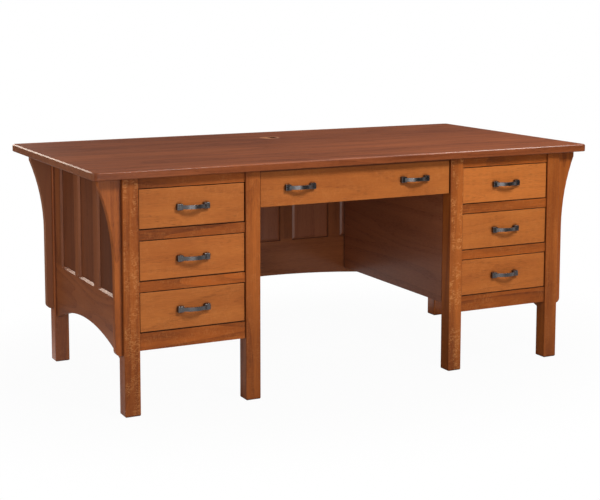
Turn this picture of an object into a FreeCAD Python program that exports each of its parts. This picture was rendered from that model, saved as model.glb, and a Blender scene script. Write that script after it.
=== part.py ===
import FreeCAD, Part
import math
import os

from FreeCAD import Vector

# Pedestal desk with two three-drawer pedestals, a shallow middle drawer, framed sides and back, and
# curved corbels under the side overhangs. Millimetres, +Z up, the floor at z = 0, and the origin under
# the middle of the top. The drawer side is the front and faces -Y. Left is -X, as seen from the front.

# Top
TOP_LENGTH = 1828.8
TOP_DEPTH = 914.4
DESK_HEIGHT = 765.2
TOP_THICKNESS = 25.4
TOP_CORNER_RADIUS = 18.0
TOP_UPPER_ROUNDING = 6.0
TOP_LOWER_CHAMFER = 2.0
SIDE_OVERHANG = 99.0
FRONT_OVERHANG = 26.0
BACK_OVERHANG = 110.0

# Legs
LEG_SIZE = 50.8
LEG_EDGE_RADIUS = 3.0
FOOT_CHAMFER = 2.5
KNEE_WIDTH = 715.0

# Pedestal fronts
FRONT_SETBACK = 7.0
RAIL_THICKNESS = 22.0
TOP_RAIL_HEIGHT = 34.8
MIDDLE_RAIL_HEIGHT = 32.0
BOTTOM_RAIL_HEIGHT = 54.1
DRAWER_OPENING_HEIGHT = 128.0
CENTER_OPENING_HEIGHT = 122.8
DRAWER_NAMES = ("lower", "middle", "upper")

# Joints between boards
TENON_THICKNESS = 10.0
TENON_WALL = 8.8
TENON_SHOULDER = 8.0

# Framed sides and back
FRAME_INSET = 8.0
FRAME_THICKNESS = 22.0
FRAME_TOP_RAIL_HEIGHT = 42.0
STILE_WIDTH = 70.0
PANEL_RECESS = 8.0
PANEL_THICKNESS = 6.0
PANEL_GROOVE = 8.0
BEVEL = 7.0
ARCH_DROP = 41.2
SIDE_PANELS = 3
SIDE_MULLION_WIDTH = 56.0
SIDE_ARCH_RISE = 65.2
SIDE_ARCH_WAIST = 130.3
BACK_PANELS = 7
BACK_MULLION_WIDTH = 65.0
BACK_ARCH_RISE = 67.0
BACK_ARCH_WAIST = 137.5
RAISED_REBATE = 7.0
RAISED_MARGIN = 10.5
RAISED_SLOPE = 3.0
RAISED_CLEARANCE = 0.5

# Pedestal insides
INNER_SIDE_THICKNESS = 19.0
INNER_SIDE_LIFT = 30.1
PEDESTAL_FLOOR_THICKNESS = 12.0

# Corbels
CORBEL_THICKNESS = 22.0
CORBEL_DEPTH = 24.0
CORBEL_LENGTH = 548.6
CORBEL_NOSE_INSET = 26.5
CORBEL_NOSE_HEIGHT = 20.0
CORBEL_CURVE_RADIUS = 680.0
CORBEL_FOOT_RADIUS = 17.0
CORBEL_EDGE_RADIUS = 2.0

# Drawers
DRAWER_GAP = 2.5
DRAWER_FRONT_THICKNESS = 20.0
DRAWER_FRONT_ROUNDING = 1.5
BOX_BOARD_THICKNESS = 12.0
BOX_BOTTOM_THICKNESS = 6.0
BOX_BOTTOM_RAISE = 10.0
BOX_GROOVE = 6.0
BOX_LIFT = 12.0
BOX_HEADROOM = 15.0
BOX_DEPTH = 550.0
CENTER_BOX_DEPTH = 450.0

# Drawer slides
SLIDE_GAP = 12.7
SLIDE_HEIGHT = 35.0
SLIDE_GAUGE = 1.5
CHANNEL_CLEARANCE = 2.2
RUNNER_CLEARANCE = 0.4
RUNNER_SIDE_CLEARANCE = 1.5
SLIDE_CLEAT_HEIGHT = 45.0

# Fixing of the top
TOP_CLEAT_SIZE = 22.0
SCREW_RADIUS = 2.2
SCREW_HEAD_RADIUS = 4.4
SCREW_HEAD_HEIGHT = 2.6
SCREW_BITE = 15.0
SCREW_CLEARANCE = 0.25
SCREWS_PER_CLEAT = 4
SCREW_END_MARGIN = 60.0

# Pulls
PULL_CENTERS = 88.9
PULL_BLOCK_SIZE = 19.0
PULL_BLOCK_DEPTH = 12.0
PULL_BLOCK_ROUNDING = 1.2
PULL_REACH = 28.0
STRAP_HEIGHT = 12.5
STRAP_THICKNESS = 4.0
STRAP_END_DEPTH = 9.5
PULL_SCREW_RADIUS = 2.0
PULL_SCREW_BITE = 8.0
CENTER_PULL_OFFSET = 215.0

# Cable grommet
GROMMET_FROM_BACK = 210.0
GROMMET_FLANGE_WIDTH = 6.0
GROMMET_FLANGE_THICKNESS = 4.0
GROMMET_BORE_RADIUS = 28.0
GROMMET_WALL = 4.0
GROMMET_LEDGE = 3.0
GROMMET_ROUNDING = 1.2
GROMMET_CLEARANCE = 0.25
CAP_THICKNESS = 5.0
CAP_CLEARANCE = 0.3
CAP_SLOT_WIDTH = 36.0

# Places that follow from the sizes above
UNDERSIDE = DESK_HEIGHT - TOP_THICKNESS
LEG_OUTER_X = TOP_LENGTH / 2 - SIDE_OVERHANG
OPENING_OUTER_X = LEG_OUTER_X - LEG_SIZE
KNEE_X = KNEE_WIDTH / 2
OPENING_INNER_X = KNEE_X + LEG_SIZE
LEG_FRONT_Y = -TOP_DEPTH / 2 + FRONT_OVERHANG
FRONT_LEG_BACK_Y = LEG_FRONT_Y + LEG_SIZE
LEG_BACK_Y = TOP_DEPTH / 2 - BACK_OVERHANG
BACK_LEG_FRONT_Y = LEG_BACK_Y - LEG_SIZE
FACE_Y = LEG_FRONT_Y + FRONT_SETBACK
BOX_FRONT_Y = FACE_Y + DRAWER_FRONT_THICKNESS
SIDE_FACE_X = LEG_OUTER_X - FRAME_INSET
SIDE_INSIDE_X = SIDE_FACE_X - FRAME_THICKNESS
BACK_FACE_Y = LEG_BACK_Y - FRAME_INSET
BACK_INSIDE_Y = BACK_FACE_Y - FRAME_THICKNESS
INNER_SIDE_INSIDE_X = KNEE_X + INNER_SIDE_THICKNESS
TENON_LENGTH = LEG_SIZE - FRAME_INSET - FRAME_THICKNESS / 2 - TENON_THICKNESS / 2 - TENON_WALL
DRAWER_PITCH = DRAWER_OPENING_HEIGHT + MIDDLE_RAIL_HEIGHT
LOWEST_OPENING_Z = UNDERSIDE - TOP_RAIL_HEIGHT - len(DRAWER_NAMES) * DRAWER_PITCH + MIDDLE_RAIL_HEIGHT
PEDESTAL_BOTTOM_Z = LOWEST_OPENING_Z - BOTTOM_RAIL_HEIGHT
INNER_SIDE_BOTTOM_Z = PEDESTAL_BOTTOM_Z + INNER_SIDE_LIFT
ARCH_END_Z = PEDESTAL_BOTTOM_Z - ARCH_DROP
CORBEL_REACH = SIDE_OVERHANG - CORBEL_NOSE_INSET
CHANNEL_DEPTH = SLIDE_GAP - CHANNEL_CLEARANCE
GROMMET_Y = TOP_DEPTH / 2 - GROMMET_FROM_BACK
GROMMET_SLEEVE_RADIUS = GROMMET_BORE_RADIUS + GROMMET_WALL
GROMMET_FLANGE_RADIUS = GROMMET_SLEEVE_RADIUS + GROMMET_FLANGE_WIDTH


def box(x0, x1, y0, y1, z0, z1):
    return Part.makeBox(x1 - x0, y1 - y0, z1 - z0, Vector(x0, y0, z0))


def upright_cylinder(radius, x, y, z0, z1):
    return Part.makeCylinder(radius, z1 - z0, Vector(x, y, z0))


def cut_all(shape, tools):
    return shape.cut(Part.makeCompound(tools)).removeSplitter()


def mirrored(shapes, x=0.0):
    return [shape.mirror(Vector(x, 0, 0), Vector(1, 0, 0)) for shape in shapes]


def both_sides(shapes):
    return shapes + mirrored(shapes)


def edges_within(shape, axis, low, high):
    """Edges of a shape that lie wholly between two values along one axis."""
    slack = 0.001
    found = []
    for edge in shape.Edges:
        limits = edge.BoundBox
        least = getattr(limits, axis + "Min")
        most = getattr(limits, axis + "Max")
        if least > low - slack and most < high + slack:
            found.append(edge)
    return found


def upright_edges(shape):
    """Straight edges of a box that run along Z."""
    return [edge for edge in shape.Edges if abs(edge.tangentAt(edge.FirstParameter).z) > 0.99]


def tenoned(board, length, y_middle, z0, z1):
    """A board along X from 0 to length, with a tenon at each end."""
    y0 = y_middle - TENON_THICKNESS / 2
    y1 = y_middle + TENON_THICKNESS / 2
    low = z0 + TENON_SHOULDER
    high = z1 - TENON_SHOULDER
    start = box(-TENON_LENGTH, 0, y0, y1, low, high)
    end = box(length, length + TENON_LENGTH, y0, y1, low, high)
    return board.fuse([start, end]).removeSplitter()


def turned(shapes, x, y, degrees):
    """Shapes turned about Z and moved from the origin to a corner of the desk."""
    placement = FreeCAD.Placement(Vector(x, y, 0), FreeCAD.Rotation(Vector(0, 0, 1), degrees))
    return [shape.transformed(placement.toMatrix(), True) for shape in shapes]


def leg(x0, y0):
    """One square leg with eased edges and a chamfered foot."""
    column = box(x0, x0 + LEG_SIZE, y0, y0 + LEG_SIZE, 0, UNDERSIDE)
    column = column.makeFillet(LEG_EDGE_RADIUS, upright_edges(column))
    return column.makeChamfer(FOOT_CHAMFER, edges_within(column, "Z", 0, 0))


def arched_board(length, rise, top):
    """A board along X whose lower edge is one arch from end to end."""
    left = Vector(0, 0, ARCH_END_Z)
    right = Vector(length, 0, ARCH_END_Z)
    crown = Vector(length / 2, 0, ARCH_END_Z + rise)
    top_right = Vector(length, 0, top)
    top_left = Vector(0, 0, top)
    outline = [
        Part.Arc(left, crown, right).toShape(),
        Part.makeLine(right, top_right),
        Part.makeLine(top_right, top_left),
        Part.makeLine(top_left, left),
    ]
    return Part.Face(Part.Wire(outline)).extrude(Vector(0, FRAME_THICKNESS, 0))


def bevel_cutter(x0, x1, z0, z1):
    """A tapering block that leaves a bevel all round an opening in the outer face."""
    return Part.makeWedge(x0 - BEVEL, 0, z0 - BEVEL, z0, x0, x1 + BEVEL, BEVEL, z1 + BEVEL, z1, x1)


def raised_field(x0, x1, y0, z0, z1):
    """The raised inner part of a panel: a step, then a margin sloping up to a field flush with the frame."""
    margin = RAISED_MARGIN - RAISED_CLEARANCE
    slope_y = FRAME_THICKNESS - RAISED_SLOPE
    step = box(x0, x1, y0, slope_y, z0, z1)
    slope = Part.makeWedge(x0, slope_y, z0, z0 + margin, x0 + margin,
                           x1, FRAME_THICKNESS, z1, z1 - margin, x1 - margin)
    return step.fuse(slope).removeSplitter()


def framed_wall(length, count, mullion_width, arch_rise, arch_waist, raised_inside):
    """A framed wall along X with its outer face at y = 0 and its inside at y = FRAME_THICKNESS."""
    head = UNDERSIDE - FRAME_TOP_RAIL_HEIGHT
    sill = ARCH_END_Z + arch_rise + arch_waist
    panel_width = (length - 2 * STILE_WIDTH - (count - 1) * mullion_width) / count
    pitch = panel_width + mullion_width
    starts = [STILE_WIDTH + index * pitch for index in range(count)]
    panel_back = PANEL_RECESS + PANEL_THICKNESS

    panels = []
    bevels = []
    for x0 in starts:
        x1 = x0 + panel_width
        panel = box(x0 - PANEL_GROOVE, x1 + PANEL_GROOVE, PANEL_RECESS, panel_back,
                    sill - PANEL_GROOVE, head + PANEL_GROOVE)
        bevels.append(bevel_cutter(x0, x1, sill, head))
        if raised_inside:
            bevels.append(box(x0 - RAISED_REBATE, x1 + RAISED_REBATE, panel_back, FRAME_THICKNESS,
                              sill - RAISED_REBATE, head + RAISED_REBATE))
            reach = RAISED_REBATE - RAISED_CLEARANCE
            field = raised_field(x0 - reach, x1 + reach, panel_back, sill - reach, head + reach)
            panel = panel.fuse(field).removeSplitter()
        panels.append(panel)

    def upright(x0, width):
        post = box(x0, x0 + width, 0, FRAME_THICKNESS, sill, head)
        tongue = box(x0, x0 + width, PANEL_RECESS, panel_back, sill - PANEL_GROOVE, head + PANEL_GROOVE)
        return cut_all(post.fuse(tongue), panels + bevels)

    stiles = [upright(0, STILE_WIDTH), upright(length - STILE_WIDTH, STILE_WIDTH)]
    mullions = [upright(x0 - mullion_width, mullion_width) for x0 in starts[1:]]

    middle = FRAME_THICKNESS / 2
    top_rail = box(0, length, 0, FRAME_THICKNESS, head, UNDERSIDE)
    top_rail = tenoned(top_rail, length, middle, head, UNDERSIDE)
    arched_rail = arched_board(length, arch_rise, sill)
    arched_rail = tenoned(arched_rail, length, middle, ARCH_END_Z, sill)
    seats = panels + stiles + mullions + bevels
    return {
        "top_rail": [cut_all(top_rail, seats)],
        "arched_rail": [cut_all(arched_rail, seats)],
        "stiles": stiles,
        "mullions": mullions,
        "panels": panels,
    }


def side_wall():
    """The left outer side, between the front and back legs."""
    length = BACK_LEG_FRONT_Y - FRONT_LEG_BACK_Y
    wall = framed_wall(length, SIDE_PANELS, SIDE_MULLION_WIDTH, SIDE_ARCH_RISE, SIDE_ARCH_WAIST, False)
    return {name: turned(shapes, -SIDE_FACE_X, BACK_LEG_FRONT_Y, -90) for name, shapes in wall.items()}


def back_wall():
    """The back, between the two back legs, with panels that are raised on the kneehole side."""
    length = 2 * OPENING_OUTER_X
    wall = framed_wall(length, BACK_PANELS, BACK_MULLION_WIDTH, BACK_ARCH_RISE, BACK_ARCH_WAIST, True)
    return {name: turned(shapes, OPENING_OUTER_X, BACK_FACE_Y, 180) for name, shapes in wall.items()}


def drawer_openings():
    """Lower and upper edges of the pedestal's drawer openings, from the lowest up."""
    starts = [LOWEST_OPENING_Z + index * DRAWER_PITCH for index in range(len(DRAWER_NAMES))]
    return [(start, start + DRAWER_OPENING_HEIGHT) for start in starts]


def front_rail(z0, z1):
    """One left pedestal rail, tenoned into the two front legs."""
    length = OPENING_OUTER_X - OPENING_INNER_X
    rail = box(0, length, 0, RAIL_THICKNESS, z0, z1)
    rail = tenoned(rail, length, RAIL_THICKNESS / 2, z0, z1)
    return turned([rail], -OPENING_OUTER_X, FACE_Y, 0)[0]


def front_rails():
    """The left pedestal's rails: bottom, between the drawers, and top."""
    openings = drawer_openings()
    bottom = front_rail(PEDESTAL_BOTTOM_Z, openings[0][0])
    middle = [front_rail(below[1], above[0]) for below, above in zip(openings, openings[1:])]
    top = front_rail(openings[-1][1], UNDERSIDE)
    return bottom, middle, top


def inner_side():
    """The left pedestal's plain side towards the kneehole, tongued into the inner leg."""
    side = box(-INNER_SIDE_INSIDE_X, -KNEE_X, FRONT_LEG_BACK_Y, BACK_INSIDE_Y,
               INNER_SIDE_BOTTOM_Z, UNDERSIDE)
    middle = -KNEE_X - INNER_SIDE_THICKNESS / 2
    tongue = box(middle - TENON_THICKNESS / 2, middle + TENON_THICKNESS / 2,
                 FRONT_LEG_BACK_Y - TENON_LENGTH, FRONT_LEG_BACK_Y,
                 INNER_SIDE_BOTTOM_Z + TENON_SHOULDER, UNDERSIDE - TENON_SHOULDER)
    return side.fuse(tongue).removeSplitter()


def pedestal_floor(legs):
    """The left pedestal's floor panel, notched round the legs."""
    panel = box(-SIDE_INSIDE_X, -INNER_SIDE_INSIDE_X, FACE_Y + RAIL_THICKNESS, BACK_INSIDE_Y,
                INNER_SIDE_BOTTOM_Z, INNER_SIDE_BOTTOM_Z + PEDESTAL_FLOOR_THICKNESS)
    return cut_all(panel, legs)


def corbel(y0):
    """One left corbel: straight below, curving out to a short upright nose under the top."""
    out = CORBEL_REACH - CORBEL_DEPTH
    rise = math.sqrt(CORBEL_CURVE_RADIUS ** 2 - (CORBEL_CURVE_RADIUS - out) ** 2)
    nose = UNDERSIDE - CORBEL_NOSE_HEIGHT
    spring = nose - rise
    half_angle = math.asin(rise / CORBEL_CURVE_RADIUS) / 2
    middle_out = CORBEL_DEPTH + CORBEL_CURVE_RADIUS * (1 - math.cos(half_angle))
    middle_height = spring + CORBEL_CURVE_RADIUS * math.sin(half_angle)

    def point(outward, z):
        return Vector(-LEG_OUTER_X - outward, y0, z)

    foot = UNDERSIDE - CORBEL_LENGTH
    foot_in = point(CORBEL_DEPTH - CORBEL_FOOT_RADIUS, foot)
    foot_out = point(CORBEL_DEPTH, foot + CORBEL_FOOT_RADIUS)
    slant = CORBEL_FOOT_RADIUS * (1 - math.sqrt(0.5))
    spring_point = point(CORBEL_DEPTH, spring)
    nose_point = point(CORBEL_REACH, nose)
    against_desk = [point(CORBEL_REACH, UNDERSIDE), point(0, UNDERSIDE), point(0, foot)]
    outline = [
        Part.makePolygon([nose_point] + against_desk + [foot_in]),
        Part.Arc(foot_in, point(CORBEL_DEPTH - slant, foot + slant), foot_out).toShape(),
        Part.makeLine(foot_out, spring_point),
        Part.Arc(spring_point, point(middle_out, middle_height), nose_point).toShape(),
    ]
    solid = Part.Face(Part.Wire(outline)).extrude(Vector(0, CORBEL_THICKNESS, 0))
    shown = []
    for face_y in (y0, y0 + CORBEL_THICKNESS):
        for edge in edges_within(solid, "Y", face_y, face_y):
            middle = edge.CenterOfMass
            if middle.x < -LEG_OUTER_X - CORBEL_EDGE_RADIUS and middle.z < UNDERSIDE - CORBEL_EDGE_RADIUS:
                shown.append(edge)
    return solid.makeFillet(CORBEL_EDGE_RADIUS, shown)


def slide_height(opening):
    """Middle height of the slides of a drawer whose box stands BOX_LIFT above its opening's lower edge."""
    return opening[0] + BOX_LIFT + SLIDE_HEIGHT


def slide_cleats():
    """The left pedestal's strips behind the slides, flush with the legs: outer ones, then inner ones."""
    outer = []
    inner = []
    for opening in drawer_openings():
        z0 = slide_height(opening) - SLIDE_CLEAT_HEIGHT / 2
        z1 = z0 + SLIDE_CLEAT_HEIGHT
        outer.append(box(-SIDE_INSIDE_X, -OPENING_OUTER_X, FRONT_LEG_BACK_Y, BACK_LEG_FRONT_Y, z0, z1))
        inner.append(box(-OPENING_INNER_X, -INNER_SIDE_INSIDE_X, FRONT_LEG_BACK_Y, BACK_INSIDE_Y, z0, z1))
    return outer, inner


def top_fixing():
    """The left pedestal's cleats under the top, their screws, and the pilot holes for the screws."""
    z0 = UNDERSIDE - TOP_CLEAT_SIZE
    spans = [
        (-SIDE_INSIDE_X, BACK_LEG_FRONT_Y),
        (-INNER_SIDE_INSIDE_X - TOP_CLEAT_SIZE, BACK_INSIDE_Y),
    ]
    cleats = []
    screws = []
    holes = []
    for x0, y1 in spans:
        cleat = box(x0, x0 + TOP_CLEAT_SIZE, FRONT_LEG_BACK_Y, y1, z0, UNDERSIDE)
        first = FRONT_LEG_BACK_Y + SCREW_END_MARGIN
        step = (y1 - SCREW_END_MARGIN - first) / (SCREWS_PER_CLEAT - 1)
        x = x0 + TOP_CLEAT_SIZE / 2
        tip = UNDERSIDE + SCREW_BITE
        own_holes = []
        for index in range(SCREWS_PER_CLEAT):
            y = first + index * step
            head = upright_cylinder(SCREW_HEAD_RADIUS, x, y, z0 - SCREW_HEAD_HEIGHT, z0)
            screws.append(head.fuse(upright_cylinder(SCREW_RADIUS, x, y, z0, tip)).removeSplitter())
            own_holes.append(upright_cylinder(SCREW_RADIUS + SCREW_CLEARANCE, x, y, z0,
                                              tip + SCREW_CLEARANCE))
        cleats.append(cut_all(cleat, own_holes))
        holes += own_holes
    return cleats, screws, holes


def grommet_ring():
    """The ring let into the top, with a ledge that carries the cap."""
    flange_under = DESK_HEIGHT - GROMMET_FLANGE_THICKNESS
    ledge_top = DESK_HEIGHT - CAP_THICKNESS - CAP_CLEARANCE
    flange = upright_cylinder(GROMMET_FLANGE_RADIUS, 0, GROMMET_Y, flange_under, DESK_HEIGHT)
    flange = flange.makeFillet(GROMMET_ROUNDING, edges_within(flange, "Z", DESK_HEIGHT, DESK_HEIGHT))
    sleeve = upright_cylinder(GROMMET_SLEEVE_RADIUS, 0, GROMMET_Y, UNDERSIDE, flange_under)
    seat = upright_cylinder(GROMMET_BORE_RADIUS, 0, GROMMET_Y, ledge_top, DESK_HEIGHT)
    bore = upright_cylinder(GROMMET_BORE_RADIUS - GROMMET_LEDGE, 0, GROMMET_Y, UNDERSIDE, DESK_HEIGHT)
    return cut_all(flange.fuse(sleeve), [seat, bore])


def grommet_cap():
    """The turning cap, with a cable slot that opens to the right."""
    radius = GROMMET_BORE_RADIUS - CAP_CLEARANCE
    disc = upright_cylinder(radius, 0, GROMMET_Y, DESK_HEIGHT - CAP_THICKNESS, DESK_HEIGHT)
    slot = box(0, radius, GROMMET_Y - CAP_SLOT_WIDTH / 2, GROMMET_Y + CAP_SLOT_WIDTH / 2,
               DESK_HEIGHT - CAP_THICKNESS, DESK_HEIGHT)
    return disc.cut(slot)


def desk_top(screw_holes):
    """The top with rounded corners and upper edges, the grommet's seat and the screws' pilot holes."""
    plate = box(-TOP_LENGTH / 2, TOP_LENGTH / 2, -TOP_DEPTH / 2, TOP_DEPTH / 2, UNDERSIDE, DESK_HEIGHT)
    plate = plate.makeFillet(TOP_CORNER_RADIUS, upright_edges(plate))
    plate = plate.makeFillet(TOP_UPPER_ROUNDING, edges_within(plate, "Z", DESK_HEIGHT, DESK_HEIGHT))
    plate = plate.makeChamfer(TOP_LOWER_CHAMFER, edges_within(plate, "Z", UNDERSIDE, UNDERSIDE))
    hole = upright_cylinder(GROMMET_SLEEVE_RADIUS + GROMMET_CLEARANCE, 0, GROMMET_Y, UNDERSIDE, DESK_HEIGHT)
    seat = upright_cylinder(GROMMET_FLANGE_RADIUS + GROMMET_CLEARANCE, 0, GROMMET_Y,
                            DESK_HEIGHT - GROMMET_FLANGE_THICKNESS, DESK_HEIGHT)
    return cut_all(plate, [hole, seat] + screw_holes)


def pull(x, z):
    """One bow pull with its two screws, and the screw holes through the boards behind it."""
    half = PULL_BLOCK_SIZE / 2
    ends = (x - PULL_CENTERS / 2, x + PULL_CENTERS / 2)

    def strap_arc(depth_at_end, depth_at_middle):
        points = [
            Vector(ends[0], FACE_Y - depth_at_end, z - STRAP_HEIGHT / 2),
            Vector(x, FACE_Y - depth_at_middle, z - STRAP_HEIGHT / 2),
            Vector(ends[1], FACE_Y - depth_at_end, z - STRAP_HEIGHT / 2),
        ]
        return points, Part.Arc(*points).toShape()

    outer_points, outer = strap_arc(STRAP_END_DEPTH, PULL_REACH)
    inner_points, inner = strap_arc(STRAP_END_DEPTH - STRAP_THICKNESS, PULL_REACH - STRAP_THICKNESS)
    start = Part.makeLine(inner_points[0], outer_points[0])
    finish = Part.makeLine(outer_points[-1], inner_points[-1])
    handle = Part.Face(Part.Wire([start, outer, finish, inner])).extrude(Vector(0, 0, STRAP_HEIGHT))

    screws = []
    holes = []
    blocks = []
    along = Vector(0, 1, 0)
    grip = DRAWER_FRONT_THICKNESS + BOX_BOARD_THICKNESS
    for end in ends:
        block = box(end - half, end + half, FACE_Y - PULL_BLOCK_DEPTH, FACE_Y, z - half, z + half)
        shown = [edge for edge in block.Edges if edge.BoundBox.YMin < FACE_Y - PULL_BLOCK_ROUNDING]
        blocks.append(block.makeFillet(PULL_BLOCK_ROUNDING, shown))
        tip = Vector(end, FACE_Y - PULL_SCREW_BITE, z)
        head = Part.makeCylinder(SCREW_HEAD_RADIUS, SCREW_HEAD_HEIGHT, Vector(end, FACE_Y + grip, z), along)
        shank = Part.makeCylinder(PULL_SCREW_RADIUS, PULL_SCREW_BITE + grip, tip, along)
        screws.append(head.fuse(shank).removeSplitter())
        holes.append(Part.makeCylinder(PULL_SCREW_RADIUS + SCREW_CLEARANCE,
                                       PULL_SCREW_BITE + SCREW_CLEARANCE + grip,
                                       tip - along * SCREW_CLEARANCE, along))
    handle = cut_all(handle.fuse(blocks), holes)
    return [handle] + screws, holes


def slide_pair(x0, x1, z, depth):
    """Channels on the two faces of an opening, and the runners on the drawer between them."""
    y0 = BOX_FRONT_Y
    y1 = BOX_FRONT_Y + depth
    half = SLIDE_HEIGHT / 2
    channel = box(x0, x0 + CHANNEL_DEPTH, y0, y1, z - half, z + half)
    hollow = box(x0 + SLIDE_GAUGE, x0 + CHANNEL_DEPTH, y0, y1,
                 z - half + SLIDE_GAUGE, z + half - SLIDE_GAUGE)
    channel = channel.cut(hollow)

    half = half - SLIDE_GAUGE - RUNNER_CLEARANCE
    near = x0 + SLIDE_GAUGE + RUNNER_SIDE_CLEARANCE
    far = x0 + SLIDE_GAP
    runner = box(near, far, y0, y1, z - half, z + half)
    hollow = box(near, far - SLIDE_GAUGE, y0, y1, z - half + SLIDE_GAUGE, z + half - SLIDE_GAUGE)
    runner = runner.cut(hollow)
    middle = (x0 + x1) / 2
    return [channel] + mirrored([channel], middle), [runner] + mirrored([runner], middle)


def drawer_box(x0, x1, z0, z1, depth, holes):
    """Two sides, two ends between them, and a bottom held in grooves all round."""
    y0 = BOX_FRONT_Y
    y1 = BOX_FRONT_Y + depth
    wall = BOX_BOARD_THICKNESS
    lip = wall - BOX_GROOVE
    bottom_z = z0 + BOX_BOTTOM_RAISE
    bottom = box(x0 + lip, x1 - lip, y0 + lip, y1 - lip, bottom_z, bottom_z + BOX_BOTTOM_THICKNESS)
    boards = [
        box(x0, x0 + wall, y0, y1, z0, z1),
        box(x1 - wall, x1, y0, y1, z0, z1),
        box(x0 + wall, x1 - wall, y0, y0 + wall, z0, z1),
        box(x0 + wall, x1 - wall, y1 - wall, y1, z0, z1),
    ]
    return [cut_all(board, [bottom] + holes) for board in boards] + [bottom]


def drawer_front(x0, x1, z0, z1, holes):
    """The inset slab front with eased front edges."""
    slab = box(x0, x1, FACE_Y, FACE_Y + DRAWER_FRONT_THICKNESS, z0, z1)
    slab = slab.makeFillet(DRAWER_FRONT_ROUNDING, edges_within(slab, "Y", FACE_Y, FACE_Y))
    return cut_all(slab, holes)


def drawer(x0, x1, opening, depth, pull_offsets):
    """All the pieces of one drawer in an opening from x0 to x1, with the fixed channels that carry it."""
    middle = (x0 + x1) / 2
    box_z0 = opening[0] + BOX_LIFT
    box_z1 = opening[1] - BOX_HEADROOM
    pulls = []
    holes = []
    for offset in pull_offsets:
        solids, own_holes = pull(middle + offset, (opening[0] + opening[1]) / 2)
        pulls += solids
        holes += own_holes
    channels, runners = slide_pair(x0, x1, slide_height(opening), depth)
    pull_name = "pull" if len(pull_offsets) == 1 else "pulls"
    return {
        "front": [drawer_front(x0 + DRAWER_GAP, x1 - DRAWER_GAP, opening[0] + DRAWER_GAP,
                               opening[1] - DRAWER_GAP, holes)],
        "box": drawer_box(x0 + SLIDE_GAP, x1 - SLIDE_GAP, box_z0, box_z1, depth, holes),
        pull_name: pulls,
        "runners": runners,
        "channels": channels,
    }


def build():
    """Every node of the desk, as a name and its list of solids."""
    nodes = {}
    bottom_rail, middle_rails, top_rail = front_rails()
    side = side_wall()
    back = back_wall()
    pedestal_side = inner_side()
    cleats, screws, holes = top_fixing()
    outer_cleats, inner_cleats = slide_cleats()

    tenoned_pieces = [bottom_rail, top_rail, pedestal_side] + middle_rails
    for wall in (side, back):
        tenoned_pieces += wall["top_rail"] + wall["arched_rail"]
    left_legs = {
        "outer_front_leg": leg(-LEG_OUTER_X, LEG_FRONT_Y),
        "inner_front_leg": leg(-OPENING_INNER_X, LEG_FRONT_Y),
        "back_leg": leg(-LEG_OUTER_X, BACK_LEG_FRONT_Y),
    }
    floor = pedestal_floor(list(left_legs.values()))
    for name, solid in left_legs.items():
        mortised = [cut_all(solid, tenoned_pieces)]
        nodes["left_" + name] = mortised
        nodes["right_" + name] = mirrored(mortised)

    nodes["desk_top"] = [desk_top(both_sides(holes))]
    nodes["grommet_ring"] = [grommet_ring()]
    nodes["grommet_cap"] = [grommet_cap()]
    corbel_inset = (LEG_SIZE - CORBEL_THICKNESS) / 2
    nodes["corbels"] = both_sides([corbel(y + corbel_inset) for y in (LEG_FRONT_Y, BACK_LEG_FRONT_Y)])

    nodes["side_top_rails"] = both_sides(side["top_rail"])
    nodes["side_arched_rails"] = both_sides(side["arched_rail"])
    nodes["side_stiles"] = both_sides(side["stiles"])
    nodes["side_mullions"] = both_sides(side["mullions"])
    nodes["side_panels"] = both_sides(side["panels"])
    nodes["back_top_rail"] = back["top_rail"]
    nodes["back_arched_rail"] = back["arched_rail"]
    nodes["back_stiles"] = back["stiles"]
    nodes["back_mullions"] = back["mullions"]
    nodes["back_panels"] = back["panels"]

    nodes["inner_sides"] = both_sides([pedestal_side])
    nodes["pedestal_floors"] = both_sides([floor])
    nodes["front_bottom_rails"] = both_sides([bottom_rail])
    nodes["front_middle_rails"] = both_sides(middle_rails)
    nodes["front_top_rails"] = both_sides([top_rail])
    nodes["outer_slide_cleats"] = both_sides(outer_cleats)
    nodes["inner_slide_cleats"] = both_sides(inner_cleats)
    nodes["top_cleats"] = both_sides(cleats)
    nodes["top_screws"] = both_sides(screws)

    nodes["pedestal_slide_channels"] = []
    for name, opening in zip(DRAWER_NAMES, drawer_openings()):
        pieces = drawer(-OPENING_OUTER_X, -OPENING_INNER_X, opening, BOX_DEPTH, (0,))
        nodes["pedestal_slide_channels"] += both_sides(pieces.pop("channels"))
        for piece, solids in pieces.items():
            nodes["left_" + name + "_drawer_" + piece] = solids
            nodes["right_" + name + "_drawer_" + piece] = mirrored(solids)

    opening = (UNDERSIDE - CENTER_OPENING_HEIGHT, UNDERSIDE)
    pieces = drawer(-KNEE_X, KNEE_X, opening, CENTER_BOX_DEPTH, (-CENTER_PULL_OFFSET, CENTER_PULL_OFFSET))
    nodes["center_slide_channels"] = pieces.pop("channels")
    for piece, solids in pieces.items():
        nodes["center_drawer_" + piece] = solids
    return nodes


os.makedirs("parts", exist_ok=True)
for node, solids in build().items():
    Part.makeCompound(solids).exportStep("parts/" + node + ".step")
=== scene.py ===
import math

import bpy
from bpy.props import FloatProperty, FloatVectorProperty, PointerProperty
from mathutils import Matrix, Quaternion, Vector


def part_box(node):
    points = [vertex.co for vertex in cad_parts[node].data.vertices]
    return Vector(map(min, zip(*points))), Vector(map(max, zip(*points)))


bl_info = {
    "name": "Pedestal desk finishes",
    "version": (1, 0, 0),
    "blender": (4, 5, 0),
    "location": "3D View > Sidebar > Desk",
    "description": "Stained oak, dark metal and steel finishes for a pedestal desk, "
                   "with its stage and camera",
    "category": "Object",
}

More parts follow.
